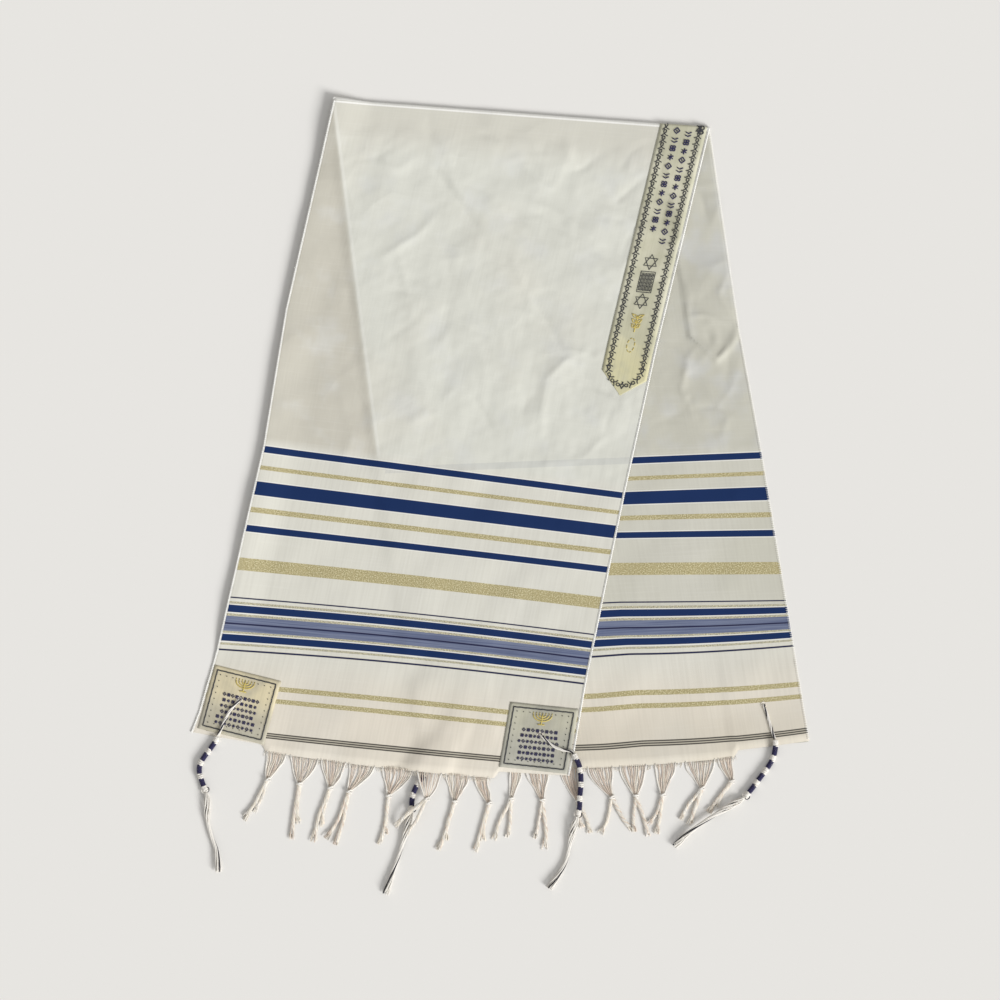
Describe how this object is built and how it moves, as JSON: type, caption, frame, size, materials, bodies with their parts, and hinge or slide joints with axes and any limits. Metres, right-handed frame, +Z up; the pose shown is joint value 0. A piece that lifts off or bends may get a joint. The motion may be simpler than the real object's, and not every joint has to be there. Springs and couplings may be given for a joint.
{
  "type": "tallit prayer shawl",
  "caption": "Cream prayer shawl with blue and gold stripes, satin neckband and corner patches, knotted corner tassels and fringe, folded across and laid flat.",
  "frame": {"origin": "middle of the flat underside on the surface it lies on, under the centre of the cloth, neckband, patches and fringe", "axes": "+Z up out of the surface, +Y from the fringed ends towards the fold, +X towards the side that the neckband is on"},
  "size_m": [0.894, 1.1523, 0.0132],
  "materials": {
    "cloth": "matt cream plain weave with woven blue, gold and lavender stripes",
    "satin": "pale green-gold satin with dark embroidery",
    "fringe": "matt cream yarn",
    "tassel_white": "matt twisted white cord",
    "tassel_navy": "matt navy cord windings"
  },
  "bodies": {
    "root": {"shawl": "cloth", "neckband": "satin", "patch_front_left": "satin", "patch_front_right": "satin", "patch_back_left": "satin", "patch_back_right": "satin", "fringe_front_1": "fringe", "fringe_front_2": "fringe", "fringe_front_3": "fringe", "fringe_front_4": "fringe", "fringe_front_5": "fringe", "fringe_front_6": "fringe", "fringe_front_7": "fringe", "fringe_front_8": "fringe", "fringe_back_1": "fringe", "fringe_back_2": "fringe", "fringe_back_3": "fringe", "fringe_back_4": "fringe", "fringe_back_5": "fringe", "fringe_back_6": "fringe", "fringe_back_7": "fringe", "fringe_back_8": "fringe", "tzitzit_front_left_loop": "tassel_white", "tzitzit_front_left_winding": "tassel_navy", "tzitzit_front_left_tail": "tassel_white", "tzitzit_front_right_loop": "tassel_white", "tzitzit_front_right_winding": "tassel_navy", "tzitzit_front_right_tail": "tassel_white", "tzitzit_back_right_loop": "tassel_white", "tzitzit_back_right_winding": "tassel_navy", "tzitzit_back_right_tail": "tassel_white", "tzitzit_back_left_loop": "tassel_white", "tzitzit_back_left_winding": "tassel_navy", "tzitzit_back_left_tail": "tassel_white"}
  },
  "joints": []
}
